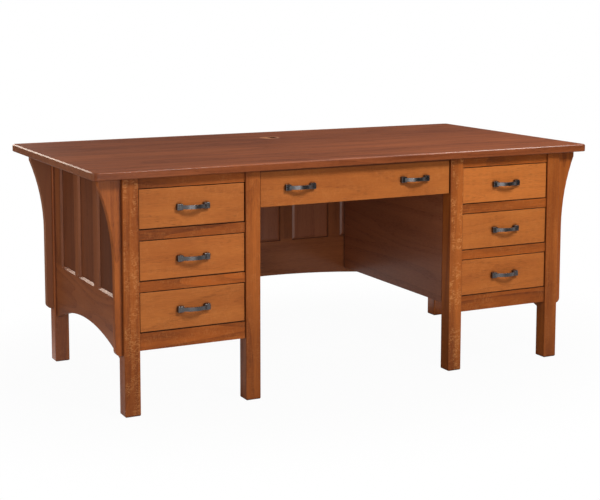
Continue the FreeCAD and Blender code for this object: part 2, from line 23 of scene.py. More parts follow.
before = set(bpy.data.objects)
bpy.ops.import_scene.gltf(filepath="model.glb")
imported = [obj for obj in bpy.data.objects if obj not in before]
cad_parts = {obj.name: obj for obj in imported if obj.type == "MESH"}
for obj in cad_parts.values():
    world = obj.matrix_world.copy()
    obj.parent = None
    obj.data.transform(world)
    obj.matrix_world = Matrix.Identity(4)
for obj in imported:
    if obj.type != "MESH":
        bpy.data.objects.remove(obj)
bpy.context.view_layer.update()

# Names of the pieces
SIDES = ("left", "right")
LEVELS = ("lower", "middle", "upper")
LEG_KINDS = ("outer_front_leg", "inner_front_leg", "back_leg")
PEDESTAL_DRAWERS = [side + "_" + level + "_drawer" for side in SIDES for level in LEVELS]
DRAWERS = PEDESTAL_DRAWERS + ["center_drawer"]
LEGS = [side + "_" + leg for side in SIDES for leg in LEG_KINDS]
FRONT_RAILS = ("front_bottom_rails", "front_middle_rails", "front_top_rails")
INSIDE_BOARDS = ("pedestal_floors", "outer_slide_cleats", "inner_slide_cleats", "top_cleats")
STEEL_FITTINGS = ("pedestal_slide_channels", "center_slide_channels", "top_screws")
SIDE_PANELS = 3
BACK_PANELS = 7

# Cells along an axis that tell boards apart: a pitch in metres and a shift in pitches
WHOLE = (10.0, 0.5)
HALVES = (1.0, 0.0)
MIDDLE_RAILS_APART = (0.47, 0.0)

# How far apart in the tree the boards are cut, in metres, and which axes the grain takes
TREE_SPREAD = (7.0, 7.0, 7.0)
SEED_SHARES = (1.0, 0.5, 0.25)
GRAIN_ORDER = {"X": "XYZ", "Y": "YXZ", "Z": "ZXY"}

# Noises of the wood, in features per metre: along the grain, or along it and twice across it
RING_FIELD = (0.75, 7.0, 7.0)
BLOTCH_FIELD = (2.6, 6.0, 6.0)
FLECK_PATCHES = (14.0, 40.0, 40.0)
STREAKS_ALONG = 1.3
FIBRES_ALONG = 8.0
PORES_ALONG = 38.0

# Rings in the ring field, width over length of a dash and a fleck, and middles of the noises
RING_COUNT = 10.0
DASH_SHAPE = 0.28
FLECK_SHAPE = 0.45
NOISE_MIDDLE = 0.5
LATE_MIDDLE = 0.4

# Values at which a mark of the wood begins to show, and at which it is full
LATE_WOOD = (0.35, 0.97)
PORE_EDGE = (0.60, 0.72)
FLECK_EDGE = (0.0, 0.08)
FLECK_PATCH_EDGE = (0.44, 0.58)
QUARTERED_FACE = (0.3, 0.6)
EASED_EDGE = (0.02, 0.22)
OPEN_FACE = (0.35, 0.90)
BACK_HALF = (0.0, 0.1)
RIM_FRONT = (0.2, 0.5)
RIM_RIGHT = (-0.5, 0.0)
RIM_CURVE = (0.05, 0.20)
END_FACE = (0.4, 0.8)

# How much the marks of the wood count
EARLY_PORES = 0.35
STRAY_FLECKS = 0.12
PORE_STAIN = 0.55
WEAR_LEAST = 0.25
WEAR_BLOTCHES = 0.5
RIM_LEAST = 0.15
FIBRE_GLOSS = 0.16
PORE_GLOSS = 0.12
FLECK_GLOSS = 0.10
FIBRE_HEIGHT = 0.5
RING_HEIGHT = 0.3
WOOD_BUMP = 0.35
COAT_ROUGHNESS = 0.22
# END_PAINTED_SHEEN: how much the painted reflection greys the top's end faces
END_PAINTED_SHEEN = 0.45

# What differs from board to board
LEG_FLECKS = {"left_outer_front_leg": 0.62, "right_inner_front_leg": 0.85}
FEW_FLECKS = 0.15
LEG_TONES = {"left_inner_front_leg": 0.92, "right_outer_front_leg": 0.97,
             "left_back_leg": 1.15, "right_back_leg": 1.15}
FRONT_TONES = {"left_middle_drawer": 1.10, "right_upper_drawer": 1.22,
               "right_middle_drawer": 1.06, "right_lower_drawer": 1.10}
RAIL_TONE = 1.16
FRAME_COAT = 0.3
BACK_LEG_COAT = 0.45

# Painted shade at the feet of the front legs, where the light falls off towards the floor:
# the axis, the amount, and the levels where it is full and ends
FRONT_LEG_SHADE = ("Z", 0.2, 0.0, 0.42)

# Painted shade on the front side panels, cast by the front corbels: the amount, and where it
# is full and ends, in pitches from the middle
SIDE_PANEL_SHADE = 0.40
SIDE_PANEL_SHADE_FULL = 0.62
SIDE_PANEL_SHADE_END = 0.38

# Painted shade inside the grommet's bore: where it is full and ends, in metres under the face
BORE_SHADE_FULL = 0.0015
BORE_SHADE_END = 0.0003

# Painted shadow lines on the drawer fronts, at the gaps under them and under the top:
# their amounts, and where they are full and end, from the edge
LOWER_LINE = {"left": 0.80, "right": 0.40}
LOWER_LINE_FULL = 0.001
LOWER_LINE_END = 0.003
UPPER_LINE = 0.85
UPPER_LINE_FULL = 0.003
UPPER_LINE_END = 0.008

# Noises and reliefs of the metals
PULL_DENTS = (130.0, 130.0, 130.0)
PULL_DUST = (420.0, 420.0, 420.0)
PULL_LEAST_WEAR = 0.35
PULL_ROUGHNESS = 0.24
PULL_DUST_GLOSS = 0.16
PULL_DENT_GLOSS = 0.08
PULL_DUST_HEIGHT = 0.2
PULL_RELIEF = 0.0004
STEEL_ROLLING = (900.0, 6.0, 900.0)
STEEL_SPANGLE = (70.0, 70.0, 70.0)
STEEL_ROUGHNESS = 0.36
STEEL_SPANGLE_GLOSS = 0.2
STEEL_RELIEF = 0.0002
STEEL_DULLNESS = 0.7
STEEL_CONTRAST = 0.8
METAL_BUMP = 0.2

# The floor and its shadow, in metres, and the colours of the stage
FLOOR_REACH = 14.0
FLOOR_DROP = 0.0005
FLOOR_GREY = (0.35, 0.35, 0.345, 1)
SHADOW_REACH = (0.6, 1.3)
SHADOW_SHAPE = (0.72, 1.0, 1.0)
FILL_TINT = (1, 0.98, 0.96, 1)
WHITE = (1, 1, 1, 1)

# The camera's sensor, in millimetres, and how far it sees, in metres
SENSOR_WIDTH = 36
VIEW_REACH = 100

# Where the floor turns dark to a gloss: from the first distance to the second, in metres
DARK_TO_RIGHT = (0.1, 0.9)
DARK_IN_FRONT = (1.5, 3.0)
DARK_BEHIND = (0.0, 0.7)
DARK_TO_LEFT = (0.7, 1.1)
# Under the desk the floor is dark to a gloss as a painted shade of the desk there
UNDER_MIDDLE = 0.2
UNDER_HALF_WIDTH = (0.6, 0.7)
UNDER_DEPTH_SQUARED = (0.12, 0.30)

# Where the surroundings turn dark to a gloss, by the parts of a direction of length 1
DARK_WAY_BEHIND = (0.05, 0.4)
DARK_WAY_RIGHT = (0.10, 0.38)
DARK_WAY_UP_TO = (0.32, 0.55)

# Each light's aim, width, height and tint
LIGHTS = {
    "key": ((0.0, -0.45, 0.5), 0.6, 0.6, (1, 0.97, 0.93)),
    "side": ((-0.8, 0.0, 0.4), 1.2, 1.2, (1, 0.98, 0.96)),
    "front": ((0.0, 0.0, 0.4), 2.0, 0.5, (1, 0.98, 0.96)),
    "near": ((-0.5, 0.0, 0.5), 1.0, 1.0, (1, 0.97, 0.93)),
    "back": ((-0.8, 0.0, 0.5), 1.4, 0.8, (1, 0.86, 0.74)),
    "over": ((0.9, -0.45, 0.76), 1.4, 0.6, (1, 0.95, 0.90)),
}


def colour(name, description, default):
    """A colour that the user can change."""
    return FloatVectorProperty(name=name, description=description, default=default,
                               subtype="COLOR", min=0, max=1)


def length(name, description, default):
    """A length in metres."""
    return FloatProperty(name=name, description=description, default=default,
                         unit="LENGTH", min=0.0001)


def factor(name, description, default):
    """A share from 0 to 1."""
    return FloatProperty(name=name, description=description, default=default,
                         subtype="FACTOR", min=0, max=1)


def place(name, description, default):
    """A point in metres."""
    return FloatVectorProperty(name=name, description=description, default=default,
                               subtype="TRANSLATION", unit="LENGTH")


def power(name, description, default):
    """The power of a light in watts."""
    return FloatProperty(name=name, description=description, default=default,
                         unit="POWER", min=0)


def turn(name, description, degrees):
    """An angle, with its default in degrees."""
    return FloatProperty(name=name, description=description, default=math.radians(degrees),
                         unit="ROTATION")


class DeskStain(bpy.types.PropertyGroup):
    """Colours of the stained oak, the bare inside wood and the metals."""

    top_light: colour("Top, pale grain", "Palest streaks of the top", (0.320, 0.090, 0.030))
    top_dark: colour("Top, dark grain", "Darkest streaks of the top", (0.132, 0.030, 0.009))
    front_light: colour("Drawer fronts, pale", "Early wood of the drawer fronts",
                        (0.568, 0.181, 0.037))
    front_dark: colour("Drawer fronts, dark", "Late wood of the drawer fronts",
                       (0.335, 0.088, 0.016))
    leg_light: colour("Legs, pale", "Early wood of the legs and corbels", (0.490, 0.133, 0.022))
    leg_dark: colour("Legs, dark", "Late wood of the legs and corbels", (0.182, 0.036, 0.0043))
    rail_light: colour("Front rails, pale", "Early wood of the front rails",
                       (0.450, 0.112, 0.016))
    rail_dark: colour("Front rails, dark", "Late wood of the front rails",
                      (0.125, 0.025, 0.003))
    frame_light: colour("Frames, pale", "Early wood of the side and back frames",
                        (0.330, 0.100, 0.030))
    frame_dark: colour("Frames, dark", "Late wood of the side and back frames",
                       (0.175, 0.046, 0.013))
    side_light: colour("Side panels, pale", "Early wood of the side panels",
                       (0.235, 0.065, 0.018))
    side_dark: colour("Side panels, dark", "Late wood of the side panels",
                      (0.124, 0.030, 0.008))
    knee_light: colour("Kneehole, pale", "Early wood of the kneehole's sides and back panels",
                       (0.395, 0.130, 0.056))
    knee_dark: colour("Kneehole, dark", "Late wood of the kneehole's sides and back panels",
                      (0.222, 0.065, 0.027))
    grommet_light: colour("Grommet, pale", "Early wood of the cable grommet",
                          (0.470, 0.230, 0.125))
    # painted_sheen: a greyer colour standing in for the reflection on the back corbels and the
    # top's end faces
    painted_sheen: colour("Faded stain", "Greyer stain of the back corbels and the ends of the top",
                  (0.365, 0.155, 0.082))
    fleck: colour("Ray flecks", "Pale ribbons that cross quarter-sawn oak",
                  (0.640, 0.260, 0.080))
    # The pore colour is also the colour of the painted shade in corners, gaps, the grommet's bore,
    # along the drawer fronts, at the front legs' feet and on the front side panels
    pore: colour("Pores", "Stain that has settled in the pores", (0.050, 0.014, 0.005))
    inside_light: colour("Inside wood, pale", "Pale streaks of the drawer boxes",
                         (0.720, 0.520, 0.290))
    inside_dark: colour("Inside wood, dark", "Dark streaks of the drawer boxes",
                        (0.540, 0.340, 0.160))
    pull_metal: colour("Pulls", "Dark metal of the pulls", (0.095, 0.089, 0.091))
    pull_worn: colour("Pulls, rubbed", "Rubbed edges of the pulls", (0.150, 0.142, 0.142))
    steel: colour("Slides", "Zinc plated steel", (0.560, 0.575, 0.600))


class DeskGrain(bpy.types.PropertyGroup):
    """Sizes of what the wood and the metals show."""

    board_width: length("Top board width", "Width of the boards glued up into the top", 0.1143)
    streak_width: length("Streak width", "Width of the long streaks", 0.026)
    fibre_width: length("Fibre width", "Width of the fine fibres", 0.003)
    dash_width: length("Dash width", "Width of the short dark dashes", 0.0048)
    pore_width: length("Pore width", "Width of one pore", 0.0007)
    fleck_spacing: length("Ray fleck spacing", "Spacing of the flecks along the grain", 0.009)
    pore_depth: length("Pore depth", "Depth of the pores under the finish", 0.0004)
    edge_softness: length("Edge softness", "Radius of the boards' eased edges", 0.0012)
    # corner_shade_reach: how far the painted shade reaches out of corners and gaps
    corner_shade_reach: length("Settled stain", "How far stain has gathered out of a corner", 0.013)
    pull_softness: length("Pull softness", "Radius of the pulls' eased edges", 0.0010)
    slide_softness: length("Slide softness", "Radius of the slides' eased edges", 0.0006)


class DeskStudio(bpy.types.PropertyGroup):
    """The camera and the light."""

    camera_place: place("Camera place", "Where the camera stands",
                        (-2.159336, -4.247229, 1.270571))
    camera_azimuth: turn("Camera azimuth", "Turn of the camera round the desk", -26.9651)
    camera_elevation: turn("Camera elevation", "Height of the camera over the horizon", 6.7369)
    camera_roll: turn("Camera roll", "Turn of the camera about its own axis", 0.0782)
    lens: FloatProperty(name="Focal length", description="Lens for a 36 mm wide sensor",
                        default=80.9864, min=10)
    lens_shift: FloatProperty(name="Lens shift", default=-0.15,
                              description="Shift of the view, in picture widths")
    key_power: power("Key light", "Power of the small light over the front", 52)
    key_place: place("Key place", "Where the key light hangs", (0.28, -2.35, 2.45))
    side_power: power("Side light", "Power of the light on the left side", 20)
    side_place: place("Side place", "Where the side light stands", (-3.2, -0.25, 1.3))
    front_power: power("Front light", "Power of the low light before the kneehole", 12)
    front_place: place("Front place", "Where the front light stands", (-0.5, -3.4, 0.36))
    near_power: power("Near light", "Power of the soft light beside the camera", 13)
    near_place: place("Near place", "Where the light beside the camera stands",
                      (-2.0, -3.7, 1.3))
    back_power: power("Back light", "Power of the light that skims the sills and edges", 26)
    back_place: place("Back place", "Where the back light hangs", (-1.15, 2.7, 1.45))
    over_power: power("Overhead light", "Power of the soft light over the right end", 29)
    over_place: place("Overhead place", "Where the overhead light hangs", (1.8, -0.6, 2.5))
    fill: factor("Fill", "Strength of the even light from all round", 0.16)
    floor_white: factor("Floor white", "How far the floor round the desk is lifted to white",
                        0.965)
    dark_room: factor("Dark room", "What the gloss sees beyond the white floor", 0.06)


class Desk(bpy.types.PropertyGroup):
    """All the settings of the desk."""

    stain: PointerProperty(type=DeskStain, name="Stain", description="Colours of the finishes")
    grain: PointerProperty(type=DeskGrain, name="Grain", description="Sizes of the grain")
    studio: PointerProperty(type=DeskStudio, name="Studio", description="Camera and light")


def settings():
    """The desk's settings in this scene."""
    return bpy.context.scene.desk


def arithmetic(operation, reflected=False):
    """An operator of Term that adds one Math node."""
    def apply(self, other):
        first, second = (other, self) if reflected else (self, other)
        return self.recipe.math(operation, first, second)
    return apply


class Term:
    """A socket that ordinary arithmetic works on."""

    def __init__(self, recipe, socket):
        self.recipe = recipe
        self.socket = socket

    __add__ = arithmetic("ADD")
    __radd__ = arithmetic("ADD", True)
    __sub__ = arithmetic("SUBTRACT")
    __rsub__ = arithmetic("SUBTRACT", True)
    __mul__ = arithmetic("MULTIPLY")
    __rmul__ = arithmetic("MULTIPLY", True)


class Recipe:
    """The nodes of one finish."""

    def __init__(self, tree):
        self.tree = tree
        self.tree.nodes.clear()

    def node(self, kind, options, sockets, output=0):
        """Adds a node: first its options, then the values or links of its sockets."""
        made = self.tree.nodes.new(kind)
        for key, value in options.items():
            setattr(made, key, value)
        for key, value in sockets.items():
            if isinstance(value, Term):
                self.tree.links.new(value.socket, made.inputs[key])
            else:
                made.inputs[key].default_value = value
        return Term(self, made.outputs[output]) if made.outputs else None

    def math(self, operation, *values):
        """A Math node on one or two values."""
        return self.node("ShaderNodeMath", {"operation": operation}, dict(enumerate(values)))

    def vector(self, operation, *vectors, output=0):
        """A Vector Math node on one to three vectors."""
        return self.node("ShaderNodeVectorMath", {"operation": operation},
                         dict(enumerate(vectors)), output)

    def place(self):
        """The point on the piece, in metres."""
        return self.node("ShaderNodeTexCoord", {}, {}, "Object")

    def facing(self, kind):
        """The surface's direction: Normal, or True Normal for the one without smoothing."""
        return self.node("ShaderNodeNewGeometry", {}, {}, kind)

    def part(self, vector, axis):
        """One coordinate of a vector."""
        return self.node("ShaderNodeSeparateXYZ", {}, {0: vector}, axis)

    def noise(self, where, stretch, detail=2.0, roughness=0.5, distortion=0.0):
        """Noise from 0 to 1, with stretch as features per metre along each axis."""
        return self.node("ShaderNodeTexNoise", {}, {
            "Vector": self.vector("MULTIPLY", where, stretch), "Scale": 1.0, "Detail": detail,
            "Roughness": roughness, "Distortion": distortion,
        })

    def chance(self, where, output):
        """A random Value or Color for each point."""
        return self.node("ShaderNodeTexWhiteNoise", {"noise_dimensions": "3D"},
                         {"Vector": where}, output)

    def away(self, value, middle):
        """How far a value is from a middle one."""
        return self.math("ABSOLUTE", value - middle)

    def step(self, value, low, high):
        """A smooth step from 0 at low to 1 at high."""
        return self.node("ShaderNodeMapRange", {"interpolation_type": "SMOOTHSTEP"},
                         {"Value": value, "From Min": low, "From Max": high})

    def clamp(self, value):
        """A value kept between 0 and 1."""
        return self.node("ShaderNodeClamp", {}, {"Value": value})

    def mix(self, amount, first, second):
        """A colour between two colours."""
        def full(value):
            return value if isinstance(value, Term) else (*value, 1.0)
        return self.node("ShaderNodeMix", {"data_type": "RGBA"},
                         {0: amount, 6: full(first), 7: full(second)}, 2)

    def mix_shaders(self, amount, first, second):
        """A shader between two shaders."""
        return self.node("ShaderNodeMixShader", {}, {0: amount, 1: first, 2: second})

    def bump(self, height, distance, strength, normal):
        """The surface's direction with a relief added."""
        return self.node("ShaderNodeBump", {}, {
            "Height": height, "Distance": distance, "Strength": strength, "Normal": normal,
        })

    def eased(self, radius):
        """The surface's direction with its edges rounded."""
        return self.node("ShaderNodeBevel", {"samples": 4}, {"Radius": radius})

    def edges(self, eased):
        """1 along the edges of a board, 0 on its faces."""
        straight = self.facing("True Normal")
        along = self.vector("DOT_PRODUCT", eased, straight, output="Value")
        return self.step(1.0 - along, *EASED_EDGE)

    def openness(self, reach):
        """1 on an open face, 0 deep in a corner or a gap."""
        around = self.node("ShaderNodeAmbientOcclusion", {"samples": 6}, {"Distance": reach}, "AO")
        return self.step(around, *OPEN_FACE)

    def surface(self, sockets):
        """Ends the finish in a shader with these sockets."""
        shader = self.node("ShaderNodeBsdfPrincipled", {}, sockets)
        self.node("ShaderNodeOutputMaterial", {}, {"Surface": shader})


def new_finish(name):
    """An empty finish and the recipe that fills it."""
    material = bpy.data.materials.new(name)
    material.use_nodes = True
    return material, Recipe(material.node_tree)


def finish(material, *nodes):
    """Gives CAD nodes a finish."""
    for node in nodes:
        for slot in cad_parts[node].material_slots:
            slot.material = material


def toned(amount, *colours):
    """The same colours, lighter or darker."""
    return [[amount * part for part in each] for each in colours]


def lifted(least, value):
    """A value from 0 to 1, made to run from a least amount to 1."""
    return least + (1 - least) * value


def grain_place(recipe, grain, cells, seed):
    """The place with the grain along x, from another part of the tree for each board, and the
    board's own tone."""
    where = recipe.place()
    sizes = [cells.get(axis, WHOLE) for axis in "XYZ"]
    cell = recipe.vector("MULTIPLY_ADD", where, [1 / pitch for pitch, shift in sizes],
                         [shift for pitch, shift in sizes])
    cell = recipe.vector("FLOOR", cell)
    cell = recipe.vector("ADD", cell, [share * seed for share in SEED_SHARES])
    own = recipe.chance(cell, "Color")
    tone = recipe.chance(cell, "Value")
    where = recipe.vector("MULTIPLY_ADD", own, TREE_SPREAD, where)
    parts = [recipe.part(where, axis) for axis in GRAIN_ORDER[grain]]
    return recipe.node("ShaderNodeCombineXYZ", {}, dict(enumerate(parts))), tone


def ray_flecks(recipe, where, spacing):
    """Thin ribbons in patches, on the faces to the front and back."""
    along = 1 / spacing
    across = along * FLECK_SHAPE
    ribbon = recipe.noise(where, (along, across, across), detail=1.0, distortion=1.0)
    line = 1 - recipe.step(recipe.away(ribbon, NOISE_MIDDLE), *FLECK_EDGE)
    patch = recipe.noise(where, FLECK_PATCHES, detail=1.0)
    front = recipe.part(recipe.facing("True Normal"), "Y")
    quartered = recipe.step(front * front, *QUARTERED_FACE)
    return line * lifted(STRAY_FLECKS, recipe.step(patch, *FLECK_PATCH_EDGE)) * quartered


def oak(name, grain, light, dark, cells=None, seed=0.0, rings=0.30, streaks=0.35, blotches=0.30,
        tones=0.15, fibres=0.5, dashes=0.15, flecks=0.0, wear=0.2, settled=0.9, darkened=None,
        painted_sheen=0.0, roughness=0.5, specular=0.2, coat=0.0, rim=0.0):
    """Stained oak with growth rings, streaks, fibres, pores and ray flecks.

    The amounts from rings to flecks say how much each mark shows. Wear pales the edges, and
    settled paints shade into the corners and gaps. Painted shade is an axis, an amount and two
    levels: the wood is darker at the first and beyond it, and plain from the second on. Painted
    sheen greys the back half as a painted reflection. Rim adds gloss to the top's rounded edges,
    most at the front right, and greys its end faces with a painted reflection.
    """
    stain = settings().stain
    sizes = settings().grain
    material, recipe = new_finish(name)
    where, tone = grain_place(recipe, grain, cells or {}, seed)

    field = recipe.noise(where, RING_FIELD, detail=1.5, roughness=0.4, distortion=0.3)
    ring = recipe.math("FRACT", field * RING_COUNT)
    late = recipe.step(ring, *LATE_WOOD)
    across = 1 / sizes.streak_width
    streak = recipe.noise(where, (STREAKS_ALONG, across, across))
    across = 1 / sizes.fibre_width
    fibre = recipe.noise(where, (FIBRES_ALONG, across, across))
    blotch = recipe.noise(where, BLOTCH_FIELD, distortion=0.4)
    across = 1 / sizes.dash_width
    dash = recipe.noise(where, (DASH_SHAPE * across, across, across), detail=1.0)
    across = 1 / sizes.pore_width
    pore = recipe.noise(where, (PORES_ALONG, across, across), detail=0.0)
    pore = recipe.step(pore, *PORE_EDGE)
    pore = pore * lifted(EARLY_PORES, late)

    shade = 0.5 - rings * (late - LATE_MIDDLE)
    shade = shade + 2 * streaks * (streak - NOISE_MIDDLE)
    shade = shade + fibres * (fibre - NOISE_MIDDLE)
    shade = shade + 2 * blotches * (blotch - NOISE_MIDDLE)
    shade = shade + tones * (tone - NOISE_MIDDLE)
    shade = shade + 2 * dashes * (dash - NOISE_MIDDLE)
    base = recipe.mix(recipe.clamp(shade), dark, light)
    gloss = roughness + FIBRE_GLOSS * (fibre - NOISE_MIDDLE) + PORE_GLOSS * pore
    if flecks:
        ray = ray_flecks(recipe, where, sizes.fleck_spacing) * flecks
        base = recipe.mix(ray, base, stain.fleck)
        gloss = gloss - FLECK_GLOSS * ray
    base = recipe.mix(PORE_STAIN * pore, base, stain.pore)

    eased = recipe.eased(sizes.edge_softness)
    if wear:
        rubbed = recipe.edges(eased) * (WEAR_LEAST + WEAR_BLOTCHES * blotch) * wear
        base = recipe.mix(rubbed, base, stain.fleck)
    # settled: painted shade, darker where ambient occlusion finds a corner or a gap
    if settled:
        base = recipe.mix((1 - recipe.openness(sizes.corner_shade_reach)) * settled, base, stain.pore)
    # painted sheen: the back half greyed as a painted reflection
    if painted_sheen:
        behind = recipe.part(recipe.place(), "Y")
        base = recipe.mix(recipe.step(behind, *BACK_HALF) * painted_sheen, base, stain.painted_sheen)
    # painted shade: darker at one level along an axis and beyond it
    if darkened:
        axis, amount, full, end = darkened
        level = recipe.part(recipe.place(), axis)
        base = recipe.mix((1 - recipe.step(level, full, end)) * amount, base, stain.pore)
    if rim:
        normal = recipe.facing("Normal")
        x, y, up = [recipe.part(normal, axis) for axis in "XYZ"]
        along = recipe.part(recipe.place(), "X")
        front, right = recipe.step(0 - y, *RIM_FRONT), recipe.step(along, *RIM_RIGHT)
        rubbed = RIM_LEAST + (1 - RIM_LEAST) * front * right
        coat = coat + rim * rubbed * recipe.step(up * (1 - up), *RIM_CURVE)
        # the top's end faces greyed as a painted reflection
        base = recipe.mix(END_PAINTED_SHEEN * recipe.step(x * x, *END_FACE), base, stain.painted_sheen)
    height = FIBRE_HEIGHT * fibre + RING_HEIGHT * ring - pore
    recipe.surface({
        "Base Color": base, "Roughness": gloss, "Specular IOR Level": specular,
        "Coat Weight": coat, "Coat Roughness": COAT_ROUGHNESS,
        "Normal": recipe.bump(height, sizes.pore_depth, WOOD_BUMP, eased),
    })
    return material


class DESK_OT_top(bpy.types.Operator):
    """Finishes the top as boards glued up side by side."""

    bl_idname = "desk.finish_top"
    bl_label = "Top"

    def execute(self, context):
        stain = settings().stain
        boards = {"Y": (settings().grain.board_width, 0.0)}
        top = oak("top_oak", "X", stain.top_light, stain.top_dark, boards, seed=1.0, rings=0.22,
                  streaks=0.70, blotches=0.36, tones=0.24, roughness=0.48, specular=0.06,
                  coat=0.2, rim=0.8, settled=0.0)
        finish(top, "desk_top")
        return {"FINISHED"}


class DESK_OT_grommet(bpy.types.Operator):
    """Finishes the cable grommet's ring and cap."""

    bl_idname = "desk.finish_grommet"
    bl_label = "Grommet"

    def execute(self, context):
        stain = settings().stain
        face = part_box("grommet_cap")[1].z
        # Painted shade on the walls of the bore, below the face
        inside = ("Z", 1.0, face - BORE_SHADE_FULL, face - BORE_SHADE_END)
        ring = oak("grommet_ring_oak", "X", stain.grommet_light, stain.top_light, seed=2.0,
                   settled=0.0, darkened=inside)
        finish(ring, "grommet_ring")
        cap = oak("grommet_cap_oak", "Y", stain.fleck, stain.top_dark, seed=3.0,
                  settled=0.0, darkened=inside)
        finish(cap, "grommet_cap")
        return {"FINISHED"}


class DESK_OT_legs(bpy.types.Operator):
    """Finishes the square legs as quarter-sawn oak."""

    bl_idname = "desk.finish_legs"
    bl_label = "Legs"

    def execute(self, context):
        stain = settings().stain
        for index, leg in enumerate(LEGS):
            light, dark = toned(LEG_TONES.get(leg, 1.0), stain.leg_light, stain.leg_dark)
            front = leg.endswith("front_leg")
            wood = oak(leg + "_oak", "Z", light, dark, seed=4.0 + index,
                       flecks=LEG_FLECKS.get(leg, FEW_FLECKS), blotches=0.60, streaks=0.45,
                       rings=0.2, darkened=FRONT_LEG_SHADE if front else None,
                       coat=0.0 if front else BACK_LEG_COAT)
            finish(wood, leg)
        return {"FINISHED"}


class DESK_OT_corbels(bpy.types.Operator):
    """Finishes the corbels under the side overhangs."""

    bl_idname = "desk.finish_corbels"
    bl_label = "Corbels"

    def execute(self, context):
        stain = settings().stain
        corners = {"X": HALVES, "Y": HALVES}
        # The back corbels are greyed as a painted reflection
        wood = oak("corbel_oak", "Z", stain.leg_light, stain.leg_dark, corners, seed=11.0,
                   painted_sheen=0.8, coat=0.12)
        finish(wood, "corbels")
        return {"FINISHED"}


def wall_finishes(wall, seed, rails, rail_grain, rail_cells, upright_cells, panel_colours,
                  **panel):
    """Finishes the rails, the uprights and the panels of one framed wall."""
    stain = settings().stain
    colours = (stain.frame_light, stain.frame_dark)
    wood = oak(wall + "_rail_oak", rail_grain, *toned(RAIL_TONE, *colours), rail_cells, seed,
               coat=FRAME_COAT)
    finish(wood, *rails)
    for uprights, cells in upright_cells.items():
        seed += 1.0
        wood = oak(wall + "_" + uprights + "_oak", "Z", *colours, cells, seed, coat=FRAME_COAT)
        finish(wood, wall + "_" + uprights)
    wood = oak(wall + "_panel_oak", "Z", *panel_colours, seed=seed + 1.0, rings=0.18,
               streaks=0.25, **panel)
    finish(wood, wall + "_panels")


class DESK_OT_side_frames(bpy.types.Operator):
    """Finishes the two framed outer sides."""

    bl_idname = "desk.finish_side_frames"
    bl_label = "Side frames"

    def execute(self, context):
        stain = settings().stain
        low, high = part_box("side_stiles")
        middle = (low.y + high.y) / 2
        low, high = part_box("side_panels")
        pitch = (high.y - low.y) / SIDE_PANELS
        uprights = {"X": HALVES, "Y": (1.0, -middle)}
        panels = {"X": HALVES, "Y": (pitch, 0.5 - middle / pitch)}
        # Painted shade of the front corbel on the front panel
        front_panel = ("Y", SIDE_PANEL_SHADE, middle - SIDE_PANEL_SHADE_FULL * pitch,
                       middle - SIDE_PANEL_SHADE_END * pitch)
        wall_finishes("side", 21.0, ("side_top_rails", "side_arched_rails"), "Y", {"X": HALVES},
                      {"stiles": uprights, "mullions": uprights},
                      (stain.side_light, stain.side_dark),
                      cells=panels, coat=0.33, darkened=front_panel)
        return {"FINISHED"}


class DESK_OT_back_frame(bpy.types.Operator):
    """Finishes the framed back."""

    bl_idname = "desk.finish_back_frame"
    bl_label = "Back frame"

    def execute(self, context):
        stain = settings().stain
        low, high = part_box("back_panels")
        pitch = (high.x - low.x) / BACK_PANELS
        wall_finishes("back", 31.0, ("back_top_rail", "back_arched_rail"), "X", {},
                      {"stiles": {"X": HALVES}, "mullions": {"X": (pitch, 0.0)}},
                      (stain.knee_light, stain.knee_dark),
                      cells={"X": (pitch, 0.5)}, coat=0.55)
        return {"FINISHED"}


class DESK_OT_inner_sides(bpy.types.Operator):
    """Finishes the plain pedestal sides towards the kneehole."""

    bl_idname = "desk.finish_inner_sides"
    bl_label = "Kneehole sides"

    def execute(self, context):
        stain = settings().stain
        wood = oak("inner_side_oak", "Y", stain.knee_light, stain.knee_dark, {"X": HALVES},
                   seed=41.0, rings=0.18, streaks=0.25, blotches=0.25, coat=0.2)
        finish(wood, "inner_sides")
        return {"FINISHED"}


class DESK_OT_front_rails(bpy.types.Operator):
    """Finishes the rails between and around the drawers."""

    bl_idname = "desk.finish_front_rails"
    bl_label = "Front rails"

    def execute(self, context):
        stain = settings().stain
        cells = {"X": HALVES, "Z": MIDDLE_RAILS_APART}
        for index, rail in enumerate(FRONT_RAILS):
            wood = oak(rail + "_oak", "X", stain.rail_light, stain.rail_dark, cells,
                       seed=131.0 + index, flecks=0.18, blotches=0.60, tones=0.35)
            finish(wood, rail)
        return {"FINISHED"}


class DESK_OT_drawer_fronts(bpy.types.Operator):
    """Finishes the drawer fronts, each cut from a different part of the tree."""

    bl_idname = "desk.finish_drawer_fronts"
    bl_label = "Drawer fronts"

    def painted_shadow_line(self, drawer):
        """Painted shadow along a front's lower edge, or along the center drawer's upper edge."""
        low, high = [corner.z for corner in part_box(drawer + "_front")]
        if drawer == "center_drawer":
            return "Z", UPPER_LINE, high - UPPER_LINE_FULL, high - UPPER_LINE_END
        side = drawer.split("_")[0]
        return "Z", LOWER_LINE[side], low + LOWER_LINE_FULL, low + LOWER_LINE_END

    def execute(self, context):
        stain = settings().stain
        for index, drawer in enumerate(DRAWERS):
            tone = FRONT_TONES.get(drawer, 1.0)
            light, dark = toned(tone, stain.front_light, stain.front_dark)
            wood = oak(drawer + "_front_oak", "X", light, dark, seed=61.0 + index, rings=0.10,
                       streaks=0.20, blotches=0.48, fibres=0.35, dashes=0.16, flecks=0.14,
                       wear=0.0, darkened=self.painted_shadow_line(drawer))
            finish(wood, drawer + "_front")
        return {"FINISHED"}


class DESK_OT_drawer_boxes(bpy.types.Operator):
    """Finishes the drawer boxes and the other bare wood inside."""

    bl_idname = "desk.finish_drawer_boxes"
    bl_label = "Inside wood"

    def execute(self, context):
        stain = settings().stain
        wood = oak("inside_wood", "Y", stain.inside_light, stain.inside_dark, seed=71.0,
                   rings=0.25, streaks=0.25, blotches=0.2, settled=0.6, roughness=0.6)
        finish(wood, *[drawer + "_box" for drawer in DRAWERS], *INSIDE_BOARDS)
        return {"FINISHED"}


